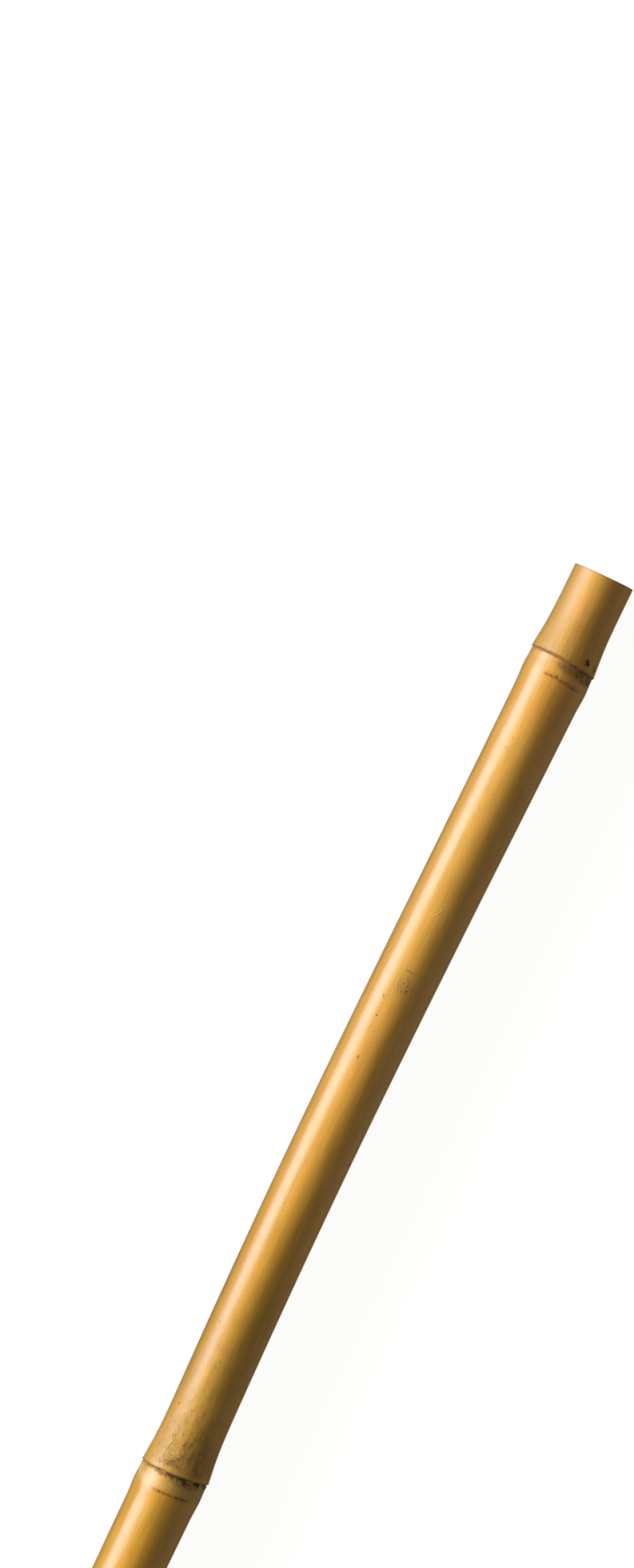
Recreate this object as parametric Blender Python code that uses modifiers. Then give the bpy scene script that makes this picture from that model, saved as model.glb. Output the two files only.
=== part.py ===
# A sawn length of bamboo cane with two nodes, lying on a flat surface.
# Metres, +Z up. The cane runs along X with its butt end at -X, and grows towards +X.
# The origin is on the surface, under the middle of the cane's box.

import math

import bpy

# Driving dimensions, with distances along the cane taken from the butt end
LENGTH = 0.600
CULM_RADIUS = 0.01265
WALL = 0.0056
SCAR_AT = (0.0381, 0.3972)
NODE_SPACING = SCAR_AT[1] - SCAR_AT[0]

# The swelling of a node: a flare up to the sheath scar, a step down, then a ridge on a long shoulder
FLARE = 0.00135
FLARE_LENGTH = 0.0099
FLARE_POWER = 1.5
SHOULDER = 0.0010
SHOULDER_LENGTH = 0.160
RIDGE = 0.00033
RIDGE_PAST_SCAR = 0.0080
RIDGE_WIDTH = 0.0045
SCAR_STEP = 0.0004

# Each sheath scar leans: how far it shifts along the cane at the +Y side and at the top
SCAR_LEAN = ((0.00092, -0.00045), (-0.00088, -0.00010))
LEAN_REACH = 0.034

# The hollow of a cut internode ends at the diaphragm in its node
DIAPHRAGM_PAST_SCAR = 0.0045
DIAPHRAGM_THICKNESS = 0.0026
BORE_FILLET = 0.0040

# The culm bows between its nodes, sideways and upwards, most of it a little past mid-internode
SIDE_AT_BUTT = -0.00045
SIDE_AT_NODES = (-0.00060, 0.00030)
SIDE_BOW = (-0.0024, 0.0009)
RISE_BOW = (0.0006, 0.0008)
BOW_SKEW = 1.3
OVALITY = 0.006
OVAL_TURN = math.radians(35)

# Small flats under the scars and ridges, on which the cane rests
FOOT_DEPTH = 0.00035

SEGMENTS = 48
BORE_FILLET_STEPS = 4
PLAIN_STEP = 0.030
NODE_OFFSETS = (
    -0.034, -0.026, -0.019, -0.013, -0.008, -0.004, -0.0012, 0.0,
    SCAR_STEP, 0.002, 0.004, 0.0055, 0.0068, RIDGE_PAST_SCAR, 0.0092, 0.0105, 0.0125, 0.016, 0.022, 0.032,
)
COLLECTION = "bamboo_cane"
MERGE = 1e-5

STRAW = (0.62, 0.40, 0.15, 1.0)
ROUGHNESS = 0.42


def node_swelling(past_scar):
    # Radius added by a node at this distance past its scar, where the culm steps down
    if past_scar <= 0:
        return FLARE * math.exp(-((-past_scar / FLARE_LENGTH) ** FLARE_POWER))
    stepped = min(past_scar / SCAR_STEP, 1.0)
    shoulder = SHOULDER * math.exp(-past_scar / SHOULDER_LENGTH)
    ridge = RIDGE * math.exp(-(((past_scar - RIDGE_PAST_SCAR) / RIDGE_WIDTH) ** 2))
    return FLARE + (shoulder + ridge - FLARE) * stepped


def culm_radius(along):
    # The nodes' swellings overlap little, and each internode carries on from the node before it
    return CULM_RADIUS + sum(node_swelling(along - scar) for scar in SCAR_AT)


def culm_stations():
    # Rings close together round each node, and evenly spaced on the plain culm between
    stations = {0.0, LENGTH}
    for scar in SCAR_AT:
        stations.update(scar + offset for offset in NODE_OFFSETS)
    ordered = sorted(stations)
    filled = []
    for start, end in zip(ordered, ordered[1:]):
        pieces = max(1, round((end - start) / PLAIN_STEP))
        filled += [start + (end - start) * i / pieces for i in range(pieces)]
    return filled + [LENGTH]


def bore_profile(mouth, floor):
    # Points (along, radius) of a blind hollow, from the mouth to the middle of its rounded floor
    radius = CULM_RADIUS - WALL
    inward = math.copysign(1, floor - mouth)
    corner = floor - inward * BORE_FILLET
    points = [(mouth, radius), (corner, radius)]
    for i in range(1, BORE_FILLET_STEPS + 1):
        turn = math.pi / 2 * i / BORE_FILLET_STEPS
        points.append(
            (corner + inward * BORE_FILLET * math.sin(turn), radius - BORE_FILLET * (1 - math.cos(turn)))
        )
    return points + [(floor, 0.0)]


def cane_profile():
    # One line from the axis in the butt's hollow, out round the culm, to the axis in the other hollow
    butt_floor = SCAR_AT[0] + DIAPHRAGM_PAST_SCAR - DIAPHRAGM_THICKNESS / 2
    tip_floor = SCAR_AT[1] + DIAPHRAGM_PAST_SCAR + DIAPHRAGM_THICKNESS / 2
    outside = [(along, culm_radius(along)) for along in culm_stations()]
    return bore_profile(0.0, butt_floor)[::-1] + outside + bore_profile(LENGTH, tip_floor)


def turned_cane(material):
    # The profile turned about X, as a plain mesh, started half a step from +Z so that a facet faces down
    start = math.pi / SEGMENTS
    points = [(along, radius * math.sin(start), radius * math.cos(start)) for along, radius in cane_profile()]
    mesh = bpy.data.meshes.new("cane_profile")
    edges = [(i, i + 1) for i in range(len(points) - 1)]
    mesh.from_pydata(points, edges, [])
    profile = bpy.data.objects.new("cane_profile", mesh)
    bpy.context.scene.collection.objects.link(profile)
    turn = profile.modifiers.new("turn", "SCREW")
    turn.axis = "X"
    turn.steps = turn.render_steps = SEGMENTS
    turn.use_merge_vertices = True
    turn.merge_threshold = MERGE
    turn.use_normal_calculate = True
    turned = bpy.data.meshes.new_from_object(profile.evaluated_get(bpy.context.evaluated_depsgraph_get()))
    bpy.data.objects.remove(profile)
    turned.name = "cane"
    turned.materials.append(material)
    return turned


def hump(along, start, height):
    # An arch over one internode, whose top lies past its middle
    share = (along - start) / NODE_SPACING
    return height * math.sin(math.pi * share**BOW_SKEW)


def centreline(along):
    # Sideways and upward offset of the culm's middle
    first, second = SCAR_AT
    if along < first:
        side = SIDE_AT_BUTT + (SIDE_AT_NODES[0] - SIDE_AT_BUTT) * along / first
        return side, 0.0
    if along < second:
        chord = SIDE_AT_NODES[0] + (SIDE_AT_NODES[1] - SIDE_AT_NODES[0]) * (along - first) / NODE_SPACING
        return chord + hump(along, first, SIDE_BOW[0]), hump(along, first, RISE_BOW[0])
    return SIDE_AT_NODES[1] + hump(along, second, SIDE_BOW[1]), hump(along, second, RISE_BOW[1])


def scar_shift(along, side, up):
    # How far a ring of the skin leans along the cane near a scar
    shift = 0.0
    for scar, (lean_side, lean_top) in zip(SCAR_AT, SCAR_LEAN):
        nearness = max(0.0, 1 - ((along - scar) / LEAN_REACH) ** 2) ** 2
        shift += nearness * (lean_side * side + lean_top * up)
    return shift


def settle(mesh):
    # Gives the turned shape its lean, ovality and bow, and flattens what it rests on
    bore = CULM_RADIUS - WALL
    floor_level = -(CULM_RADIUS + FLARE - FOOT_DEPTH)
    for vertex in mesh.vertices:
        along, y, z = vertex.co
        radius = math.hypot(y, z)
        if radius > bore * 1.01:
            along += scar_shift(along, y / radius, z / radius)
        oval = 1 + OVALITY * math.cos(2 * (math.atan2(z, y) - OVAL_TURN))
        side, rise = centreline(along)
        vertex.co = (along - LENGTH / 2, y * oval + side, max(z * oval + rise, floor_level))
    middle = (min(v.co.y for v in mesh.vertices) + max(v.co.y for v in mesh.vertices)) / 2
    for vertex in mesh.vertices:
        vertex.co.y -= middle
        vertex.co.z -= floor_level
    mesh.update()


def straw_material():
    material = bpy.data.materials.new("straw_culm")
    material.use_nodes = True
    shader = material.node_tree.nodes["Principled BSDF"]
    shader.inputs["Base Color"].default_value = STRAW
    shader.inputs["Roughness"].default_value = ROUGHNESS
    shader.inputs["Metallic"].default_value = 0.0
    material.diffuse_color = STRAW
    return material


def build():
    for old in list(bpy.data.objects):
        bpy.data.objects.remove(old)
    parts = bpy.data.collections.new(COLLECTION)
    bpy.context.scene.collection.children.link(parts)
    mesh = turned_cane(straw_material())
    settle(mesh)
    mesh.shade_smooth()
    mesh.set_sharp_from_angle(angle=math.radians(40))
    parts.objects.link(bpy.data.objects.new("cane", mesh))


build()
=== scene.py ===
# A length of straw-coloured bamboo cane with two nodes, lying on a pale table under soft light

import math

import bpy
from mathutils import Matrix, Vector


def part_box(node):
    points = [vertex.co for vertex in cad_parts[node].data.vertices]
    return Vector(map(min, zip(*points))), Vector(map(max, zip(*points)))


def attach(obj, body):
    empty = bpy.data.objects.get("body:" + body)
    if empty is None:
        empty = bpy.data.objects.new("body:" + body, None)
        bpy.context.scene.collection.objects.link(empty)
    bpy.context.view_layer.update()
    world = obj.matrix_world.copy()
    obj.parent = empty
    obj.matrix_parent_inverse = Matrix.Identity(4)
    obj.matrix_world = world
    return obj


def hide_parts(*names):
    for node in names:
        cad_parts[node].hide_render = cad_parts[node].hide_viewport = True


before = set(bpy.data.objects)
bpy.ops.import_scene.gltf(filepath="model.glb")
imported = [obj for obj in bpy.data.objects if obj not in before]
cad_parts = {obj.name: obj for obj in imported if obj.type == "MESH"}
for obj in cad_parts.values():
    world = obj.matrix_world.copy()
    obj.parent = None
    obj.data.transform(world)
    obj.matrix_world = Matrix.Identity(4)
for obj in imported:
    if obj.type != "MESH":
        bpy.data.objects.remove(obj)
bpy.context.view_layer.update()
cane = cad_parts["cane"]
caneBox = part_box("cane")
caneLength = caneBox[1].x - caneBox[0].x
mm = 0.001


# Node trees, with sums written as sums

class Wire:  # one socket, which adds and multiplies like a number
    def __init__(self, graph, socket):
        self.graph = graph
        self.socket = socket

    def __add__(self, other):
        return self.graph.math("ADD", self, other)

    def __radd__(self, other):
        return self.graph.math("ADD", other, self)

    def __sub__(self, other):
        return self.graph.math("SUBTRACT", self, other)

    def __rsub__(self, other):
        return self.graph.math("SUBTRACT", other, self)

    def __mul__(self, other):
        return self.graph.math("MULTIPLY", self, other)

    def __rmul__(self, other):
        return self.graph.math("MULTIPLY", other, self)

    def __truediv__(self, other):
        return self.graph.math("DIVIDE", self, other)

    def __rtruediv__(self, other):
        return self.graph.math("DIVIDE", other, self)

    def __pow__(self, other):
        return self.graph.math("POWER", self, other)

    def __rpow__(self, other):
        return self.graph.math("POWER", other, self)

    def __gt__(self, other):
        return self.graph.math("GREATER_THAN", self, other)

    def __lt__(self, other):
        return self.graph.math("LESS_THAN", self, other)


class Graph:  # a node tree, with short ways to add nodes to it
    def __init__(self, tree):
        self.tree = tree

    def node(self, kind, settings=None, sockets=None, output=0):
        made = self.tree.nodes.new(kind)
        for name, value in (settings or {}).items():
            setattr(made, name, value)
        for name, value in (sockets or {}).items():
            if isinstance(value, Wire):
                self.tree.links.new(value.socket, made.inputs[name])
            else:
                made.inputs[name].default_value = value
        return Wire(self, made.outputs[output])

    def beside(self, wire, name):  # another output of the node that a wire comes from
        return Wire(self, wire.socket.node.outputs[name])

    def math(self, operation, *values):
        return self.node("ShaderNodeMath", {"operation": operation}, dict(enumerate(values)))

    def least(self, first, second):
        return self.math("MINIMUM", first, second)

    def most(self, first, second):
        return self.math("MAXIMUM", first, second)

    def vector(self, operation, *values):
        return self.node("ShaderNodeVectorMath", {"operation": operation}, dict(enumerate(values)))

    def split(self, vector):
        made = self.node("ShaderNodeSeparateXYZ", None, {0: vector})
        return [Wire(self, socket) for socket in made.socket.node.outputs]

    def join(self, x, y, z):
        return self.node("ShaderNodeCombineXYZ", None, {0: x, 1: y, 2: z})

    def ramp(self, value, start, end, low=0.0, high=1.0):  # an eased rise or fall between start and end
        kind = {"interpolation_type": "SMOOTHSTEP"}
        return self.node("ShaderNodeMapRange", kind, {0: value, 1: start, 2: end, 3: low, 4: high})

    def band(self, value, start, full, fade, end):  # rises from start to full, and falls from fade to end
        return self.ramp(value, start, full) * self.ramp(value, fade, end, 1.0, 0.0)

    def bell(self, value, middle, width):
        away = (value - middle) / width
        return self.math("EXPONENT", away * away * -1.0)

    def blend(self, first, second, share):
        return first + (second - first) * share

    def tint(self, share, first, second):  # colours
        return self.node("ShaderNodeMix", {"data_type": "RGBA"}, {0: share, 6: first, 7: second}, 2)

    def scaled(self, vector, strength):  # a vector or colour, times a number
        return self.node("ShaderNodeVectorMath", {"operation": "SCALE"}, {0: vector, "Scale": strength})

    def attribute(self, name, output="Vector"):
        return self.node("ShaderNodeAttribute", {"attribute_name": name}, None, output)

    def bump(self, height, depth, strength=1.0):
        sockets = {"Strength": strength, "Distance": depth, "Height": height}
        return self.node("ShaderNodeBump", None, sockets)

    def noise(self, place, along, across, detail=2.0, shift=0.0, rough=0.55):
        # Along and across are how many waves it has in a mm, lengthwise and round the cane
        shift = shift if isinstance(shift, Wire) else (shift, shift, shift)
        stretched = self.vector("MULTIPLY_ADD", place, (along, across, across), shift)
        sockets = {"Vector": stretched, "Scale": 1.0, "Detail": detail, "Roughness": rough}
        return self.node("ShaderNodeTexNoise", {"noise_dimensions": "3D"}, sockets)


socketKinds = {
    float: "NodeSocketFloat",
    int: "NodeSocketInt",
    bpy.types.Object: "NodeSocketObject",
    bpy.types.Material: "NodeSocketMaterial",
}


class Growth(Graph):  # a Geometry Nodes tree with a named input for each value
    def __init__(self, name, values):
        super().__init__(bpy.data.node_groups.new(name, "GeometryNodeTree"))
        self.name = name
        self.values = values
        face = self.tree.interface
        face.new_socket("Geometry", in_out="INPUT", socket_type="NodeSocketGeometry")
        face.new_socket("Geometry", in_out="OUTPUT", socket_type="NodeSocketGeometry")
        self.keys = {}
        for label, value in values.items():
            made = face.new_socket(label, in_out="INPUT", socket_type=socketKinds[type(value)])
            self.keys[label] = made.identifier
        start = self.tree.nodes.new("NodeGroupInput")
        self.given = {socket.name: Wire(self, socket) for socket in start.outputs if socket.name}

    def store(self, geometry, label, kind, value):
        settings = {"data_type": kind, "domain": "POINT"}
        sockets = {0: geometry, "Name": label, "Value": value}
        return self.node("GeometryNodeStoreNamedAttribute", settings, sockets)

    def read(self, label, kind="FLOAT"):
        return self.node("GeometryNodeInputNamedAttribute", {"data_type": kind}, {"Name": label})

    def random(self, low, high, seed):
        sockets = {2: low, 3: high, "Seed": seed}
        return self.node("FunctionNodeRandomValue", {"data_type": "FLOAT"}, sockets, 1)

    def finish(self, base, geometry):  # runs the tree on a mesh, and leaves a plain object
        end = self.tree.nodes.new("NodeGroupOutput")
        self.tree.links.new(geometry.socket, end.inputs[0])
        piece = bpy.data.objects.new(self.name, base)
        bpy.context.scene.collection.objects.link(piece)
        modifier = piece.modifiers.new(self.name, "NODES")
        modifier.node_group = self.tree
        for label, value in self.values.items():
            modifier[self.keys[label]] = value
        ready = bpy.context.evaluated_depsgraph_get()
        made = bpy.data.meshes.new_from_object(
            piece.evaluated_get(ready), preserve_all_data_layers=True, depsgraph=ready
        )
        piece.modifiers.remove(modifier)
        piece.data = made
        made.name = self.name
        return piece


def newMaterial(name):  # a material, its node tree and its shader
    material = bpy.data.materials.new(name)
    material.use_nodes = True
    return material, Graph(material.node_tree), material.node_tree.nodes["Principled BSDF"]


def plug(graph, shader, sockets):  # feeds a shader's sockets with wires or plain values
    for name, value in sockets.items():
        if isinstance(value, Wire):
            graph.tree.links.new(value.socket, shader.inputs[name])
        else:
            shader.inputs[name].default_value = value


# The bamboo skin: glossy on the internodes, matt and scored where a sheath once gripped it

skinLooks = {
    "gold": (0.65, 0.338, 0.055, 1.0),
    "amber": (0.66, 0.300, 0.044, 1.0),
    "olive": (0.52, 0.320, 0.042, 1.0),
    "honey": (0.64, 0.325, 0.028, 1.0),
    "wax": (0.60, 0.500, 0.270, 1.0),
    "smudge": (0.15, 0.072, 0.019, 1.0),
    "lip": (0.20, 0.095, 0.028, 1.0),
    "scurf": (0.070, 0.034, 0.014, 1.0),
    "rust": (0.19, 0.062, 0.014, 1.0),
    "pepper": (0.115, 0.058, 0.012, 1.0),
    "peat": (0.30, 0.170, 0.032, 1.0),
    "moss": (0.39, 0.255, 0.034, 1.0),
    "bruise": (0.028, 0.017, 0.015, 1.0),
    # the colour of the painted shade along the sawn butt's edge
    "cutEdgeShadeBrown": (0.13, 0.060, 0.020, 1.0),
    "scuff": (0.15, 0.070, 0.020, 1.0),
    "wound": (0.150, 0.062, 0.018, 1.0),
    "fresh": (0.86, 0.66, 0.38, 1.0),
    "grey": (0.25, 0.20, 0.13, 1.0),
    # Painted shade: how much the sun-facing side, the band by the terminator and the cane past the tip scar
    # are darkened
    "paintedSunSideShade": 0.41,
    "terminator": 0.09,
    "tipShade": 0.03,
    "glossy": 0.335,
    "matt": 0.425,
    "shine": 0.355,
    "relief": 0.00010,
    "fibres": 0.26,
    "threads": (0.18, 0.24),  # everywhere, and more where the skin is matt
    "mottle": (0.24, 0.34),
    "haze": 0.34,
    "veins": 0.07,
    "scores": 0.16,
    "scoreLines": 104.0,
    # How ragged the edge of a mark is, and at which strength it starts
    "markEdges": {"bruise": (0.75, 0.16), "wound": (1.8, 0.30), "grey": (1.8, 0.30)},
}
# How strongly each tint is laid on
skinShares = {
    "honey": 0.6,
    "nearScar": 0.26,
    "waxPatch": 0.36,
    "smearAtButt": 0.88,
    "smearAtTip": 0.6,
    "streaks": 0.50,
    "dust": 0.34,
    "grooveDirtAndShade": 0.6,
    "dirtAtTip": 0.95,
    "scratch": 0.75,
    "cutEdgeShade": 0.9,
}
# Marks on top of the cane, in mm: along, across, half length, half width, strength
skinMarks = {
    "bruise": ((34.6, 8.1, 1.40, 0.90, 0.60), (33.5, 7.7, 0.7, 0.50, 0.20), (35.3, 8.8, 0.8, 0.45, 0.25),
               (34.3, 6.9, 0.6, 0.40, 0.25), (35.8, 7.4, 0.6, 0.50, 0.25), (35.6, 11.5, 1.3, 0.35, 0.55),
               (34.2, 11.0, 0.6, 0.35, 0.45), (37.0, 10.9, 0.5, 0.30, 0.4)),
    "wound": ((45.7, 0.1, 0.75, 0.45, 0.9), (183.8, 2.0, 0.55, 0.42, 0.85), (197.3, -4.2, 0.42, 0.40, 0.8),
              (215.6, -3.6, 0.85, 0.33, 0.8), (155.9, 1.6, 0.5, 0.25, 0.6), (189.0, -5.2, 0.8, 0.26, 0.6),
              (171.4, -10.2, 0.7, 0.30, 0.5), (371.0, -9.9, 0.40, 0.30, 0.8),
              (371.3, -3.9, 0.42, 0.30, 0.85), (351.9, -2.3, 0.40, 0.26, 0.8),
              (349.1, -1.9, 0.40, 0.26, 0.8), (334.7, -8.4, 0.30, 0.25, 0.7),
              (376.8, -10.6, 0.40, 0.26, 0.6), (384.9, -12.4, 0.6, 0.26, 0.8),
              (51.2, 0.5, 0.28, 0.26, 0.8), (68.8, -3.7, 0.26, 0.24, 0.7), (74.2, -4.6, 0.26, 0.24, 0.7),
              (79.0, -5.3, 0.3, 0.22, 0.65), (86.6, -5.3, 0.26, 0.22, 0.65),
              (121.6, -11.0, 0.3, 0.24, 0.7)),
    "grey": ((240.6, -8.6, 0.45, 0.85, 0.65), (211.0, 7.8, 1.2, 0.4, 0.3)),
}


def scarClumps(g, grain, start):  # the clumps that dirt and crumbs lie in along a scar
    return g.ramp(g.noise(grain, 0.4, 0.35, 3.0, 111.0), start, start + 0.16)


def ridgePatches(g, grain, side, up):  # the stretches of a ridge that have buds and rust
    below = g.ramp(g.noise(grain, 0.1, 0.16, 2.0, 131.0), 0.36, 0.52) * (up < 0.0)
    return below + g.band(side, -6.5, -3.5, 7.0, 10.5) * (up > 0.0)


def makeSkin(looks, shares, marks):
    material, g, shader = newMaterial("bambooSkin")
    grain = g.attribute("grain")  # mm along the cane from its butt, to its side and up from its axis
    along, side, up = g.split(grain)
    pastButt, pastTip, _ = g.split(g.attribute("pastScar"))
    above = up > 0.0

    def patch(at, across, length, width):  # fades out from a place on top of the cane
        lengthwise = (along - at) / length
        crosswise = (side - across) / width
        return g.math("EXPONENT", (lengthwise * lengthwise + crosswise * crosswise) * -1.0) * above

    # Where the skin is matt: all of the butt, and the last quarter of an internode before its scar
    beforeButt = pastButt < 0.0
    beforeTip = pastTip < 0.0
    cloud = g.noise(grain, 0.035, 0.20, 3.0, 17.0)
    buttMatt = beforeButt * g.ramp(pastButt, -34.0, -4.0, 0.62, 1.0)
    tipMatt = beforeTip * g.ramp(pastTip + (cloud - 0.5) * 90.0, -110.0, -4.0)
    buttBand = g.band(pastButt, 0.3, 0.9, 6.0, 8.6)
    tipBand = g.band(pastTip, 0.3, 0.9, 6.0, 8.6)
    gripped = g.least(buttMatt + tipMatt, 1.0)
    matt = g.least(gripped + buttBand * 0.35 + tipBand * 0.6, 1.0)

    # Ground colour, with slow drifts from gold to amber and olive
    drift = g.noise(grain, 0.010, 0.06, 2.0, 11.0)
    colour = g.tint(g.ramp(drift, 0.45, 0.72, 0.0, 0.7), looks["gold"], looks["amber"])
    colour = g.tint(g.ramp(cloud, 0.45, 0.75, 0.0, 0.30), colour, looks["olive"])
    colour = g.tint(g.ramp(along, 200.0, 330.0) * shares["honey"], colour, looks["honey"])
    towardsSun = g.math("ARCTAN2", side * -1.0, up)
    crest = g.bell(towardsSun, 0.12, 0.50)
    nearScar = g.ramp(pastButt, -30.0, -4.0) * beforeButt + g.ramp(pastTip, -90.0, -10.0) * beforeTip
    olive = gripped * g.ramp(cloud, 0.3, 0.6, 0.05, 0.30) * (1.0 - beforeButt * 0.5)
    colour = g.tint(olive, colour, looks["olive"])
    colour = g.tint(nearScar * crest * shares["nearScar"], colour, looks["olive"])

    # Painted shade: the long side that faces the sun is darkened all along, more so further round towards
    # its lower edge
    paintedSunSideShade = g.band(towardsSun, 0.28, 0.82, 2.2, 2.9) + g.band(towardsSun, 1.0, 1.6, 2.2, 2.9) * 0.6
    paintedSunSideShade = paintedSunSideShade * (1.0 - g.ramp(pastTip, -40.0, -8.0) * 0.12)
    # Painted shade: a band just past the terminator, the tip half, the butt and the cane past the tip scar
    # are darkened
    tipward = g.ramp(along, 240.0, 345.0) * g.ramp(pastTip, -60.0, -15.0, 1.0, 0.3)
    deeper = tipward * 1.3 + beforeButt * 0.9 + 1.0
    paintedShade = g.bell(towardsSun, -0.26, 0.34) * deeper * looks["terminator"]
    paintedShade = paintedShade + tipward * 0.08 + beforeButt * 0.02
    paintedShade = paintedShade + g.ramp(pastTip, 0.0, 6.0) * looks["tipShade"]
    colour = g.scaled(colour, 1.0 - paintedSunSideShade * looks["paintedSunSideShade"] - paintedShade)

    # Fibres run the length of the cane, and stand out where it is matt
    fibre = g.noise(grain, 0.022, 1.15, 3.0, 5.0)
    thread = g.noise(grain, 0.10, 3.4, 3.0, 29.0)
    vein = g.ramp(g.noise(grain, 0.012, 0.62, 2.0, 35.0), 0.56, 0.74)
    mottle = g.noise(grain, 1.3, 2.4, 3.0, 37.0, 0.65)
    bends = g.noise(grain, 0.012, 0.25, 2.0, 45.0)
    around = g.math("ARCTAN2", side, up)
    scored = g.math("SINE", around * looks["scoreLines"] + bends * 14.0) * 0.5 + 0.5
    scored = scored * scored * scored
    scoring = g.ramp(g.noise(grain, 0.05, 0.20, 3.0, 49.0), 0.42, 0.60) * gripped
    scoring = scoring * g.ramp(g.noise(grain, 0.20, 2.6, 2.0, 43.0), 0.36, 0.56) * (crest * 0.9 + 0.35)
    haze = g.noise(grain, 0.06, 0.35, 3.0, 39.0)
    threads, more = looks["threads"]
    lines = (fibre - 0.5) * looks["fibres"] + (thread - 0.5) * (threads + gripped * more)
    lines = lines + (haze - 0.5) * looks["haze"]
    mottles, more = looks["mottle"]
    lines = lines + (mottle - 0.5) * (mottles + gripped * more) - vein * looks["veins"]
    lines = lines - scored * scoring * looks["scores"]
    colour = g.scaled(colour, 1.0 + lines)

    # The bands between scar and ridge, waxy in places and stained in others
    cloudy = g.noise(grain, 0.28, 0.20, 3.0, 41.0)
    wobble = g.noise(grain, 1.5, 1.5, 4.0, 139.0, 0.65) - 0.5
    moss = tipBand * g.ramp(side, -5.0, 2.0) * g.ramp(cloudy, 0.3, 0.6, 0.35, 0.75)
    colour = g.tint(moss, colour, looks["moss"])
    wax = tipBand * g.ramp(cloudy, 0.42, 0.74, 0.05, 0.36)
    wax = wax + buttBand * g.ramp(cloudy, 0.45, 0.75, 0.0, 0.14)
    waxPatch = g.ramp(patch(402.6, -7.0, 3.6, 5.4) + wobble * 0.45, 0.20, 1.0)
    wax = g.most(wax, waxPatch * shares["waxPatch"])
    colour = g.tint(g.least(wax, 0.9), colour, looks["wax"])
    stain = g.ramp(g.noise(grain, 0.30, 0.22, 3.0, 52.0), 0.50, 0.70)
    stain = buttBand * stain * g.ramp(pastButt, 1.0, 6.0, 0.75, 0.25)
    mottled = g.ramp(g.noise(grain, 0.9, 0.7, 3.0, 57.0), 0.35, 0.62, 0.45, 1.0)
    stain = stain * (1.0 - above) * mottled
    smear = patch(40.8, 1.6, 2.6, 4.8) * 0.8 + patch(40.4, 10.0, 2.6, 4.0) * 1.1 + wobble * 0.6
    smear = g.ramp(smear, 0.10, 0.88) * mottled * shares["smearAtButt"] * (pastButt > 0.7)
    stain = g.most(stain, smear)
    colour = g.tint(stain, colour, looks["smudge"])
    mould = g.ramp(g.noise(grain, 0.45, 0.30, 4.0, 61.0), 0.50, 0.70)
    mould = tipBand * mould * g.ramp(pastTip, 1.0, 4.5, 0.9, 0.15)
    mould = mould * (1.0 - above) * mottled
    smear = g.ramp(patch(399.9, 3.6, 1.8, 6.0) + wobble * 0.6, 0.2, 0.85)
    mould = g.most(mould, smear * mottled * shares["smearAtTip"] * (pastTip > 0.9))
    colour = g.tint(mould, colour, looks["smudge"])

    # Pepper: short dark dashes, thickest just before the tip scar
    dash = g.noise(grain, 0.85, 3.3, 3.0, 71.0, 0.6)
    fine = g.noise(grain, 2.1, 4.6, 2.0, 83.0)
    crowd = g.noise(grain, 0.12, 0.24, 4.0, 97.0, 0.62)
    pepperTip = beforeTip * (g.ramp(pastTip, -34.0, -6.0) * 0.80 + g.ramp(pastTip, -130.0, -30.0) * 0.58)
    onTop = g.bell(towardsSun, 0.02, 0.74) * 0.66 + 0.45
    pepperTip = pepperTip * g.ramp(pastTip, -3.0, -0.8, 1.0, 0.45) * onTop
    pepperButt = beforeButt * g.ramp(pastButt, -36.0, -4.0, 0.10, 0.34)
    pepper = (pepperTip + pepperButt + 0.03) * g.ramp(crowd, 0.34, 0.62, 0.55, 1.22)
    specks = g.ramp(dash, 0.79 - pepper * 0.175, 0.87 - pepper * 0.175)
    specks = g.most(specks, g.ramp(fine, 0.79 - pepper * 0.19, 0.86 - pepper * 0.17))
    # A peat underlay where the pepper crowds, and a patch of painted shade on the shaded side just before
    # the tip scar
    peatAndPaintedShade = g.ramp(crowd + dash * 0.5, 0.62, 0.95) * g.ramp(pepper, 0.2, 1.1) * 0.16
    peatAndPaintedShade = peatAndPaintedShade + g.ramp(patch(388.0, 9.5, 11.0, 5.0) + wobble * 0.5, 0.2, 1.0) * 0.26
    colour = g.tint(peatAndPaintedShade, colour, looks["peat"])
    streaks = g.ramp(g.noise(grain, 0.32, 3.9, 2.0, 89.0), 0.44, 0.62) * g.ramp(pepper, 0.15, 1.0)
    colour = g.tint(streaks * shares["streaks"], colour, looks["peat"])
    dust = g.ramp(mottle + dash * 0.4 + pepper * 0.16, 0.74, 0.90) * g.ramp(pepper, 0.1, 0.9)
    colour = g.tint(dust * shares["dust"], colour, looks["peat"])
    colour = g.tint(specks * g.ramp(pepper, 0.0, 0.6, 0.3, 0.88), colour, looks["pepper"])

    # Scar lips and grooves, and rust along the ridges
    rim = g.noise(grain, 0.2, 0.9, 3.0, 103.0)
    lips = g.bell(pastButt, 0.10, 0.26) * g.ramp(rim, 0.25, 0.6, 0.55, 1.0)
    lips = lips + g.bell(pastTip, 0.10, 0.32) * g.ramp(rim, 0.2, 0.5, 0.7, 1.0)
    thinLines = g.bell(pastButt, -0.36, 0.12) + g.bell(pastTip, -0.40, 0.12)
    lips = lips + thinLines * g.ramp(rim, 0.3, 0.6, 0.25, 0.8)
    colour = g.tint(g.least(lips, 0.9), colour, looks["lip"])
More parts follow.
